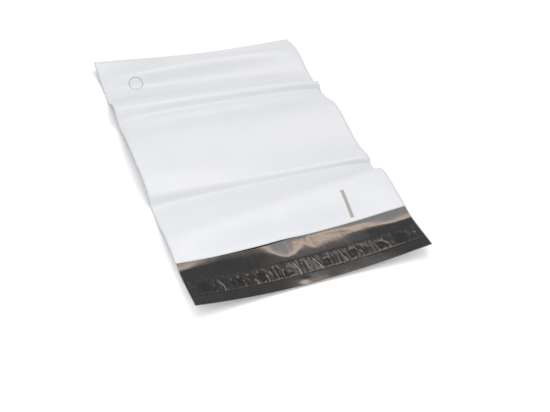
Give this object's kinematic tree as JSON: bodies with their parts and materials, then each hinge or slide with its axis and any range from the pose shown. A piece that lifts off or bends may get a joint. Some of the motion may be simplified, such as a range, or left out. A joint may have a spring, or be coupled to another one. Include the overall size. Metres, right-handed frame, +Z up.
{
  "type": "poly mailer bag",
  "caption": "Empty white film mailing bag lying flat with soft cross waves, its black inner flap open, with a strip of adhesive under a clear release liner.",
  "frame": {"origin": "centre of the bounding box's underside, on the surface that the bag lies on", "axes": "+Z up, +Y along the bag from the open flap to the bottom fold, +X to the right seen from the flap"},
  "size_m": [0.25, 0.3978, 0.0158],
  "materials": {
    "film": "satin white co-extruded film, black and glossy on its inner face",
    "adhesive": "tacky hot melt",
    "liner": "clear, glossy, gathered"
  },
  "bodies": {
    "root": {"bag_film": "film", "adhesive_strip": "adhesive", "release_liner": "liner"}
  },
  "joints": []
}
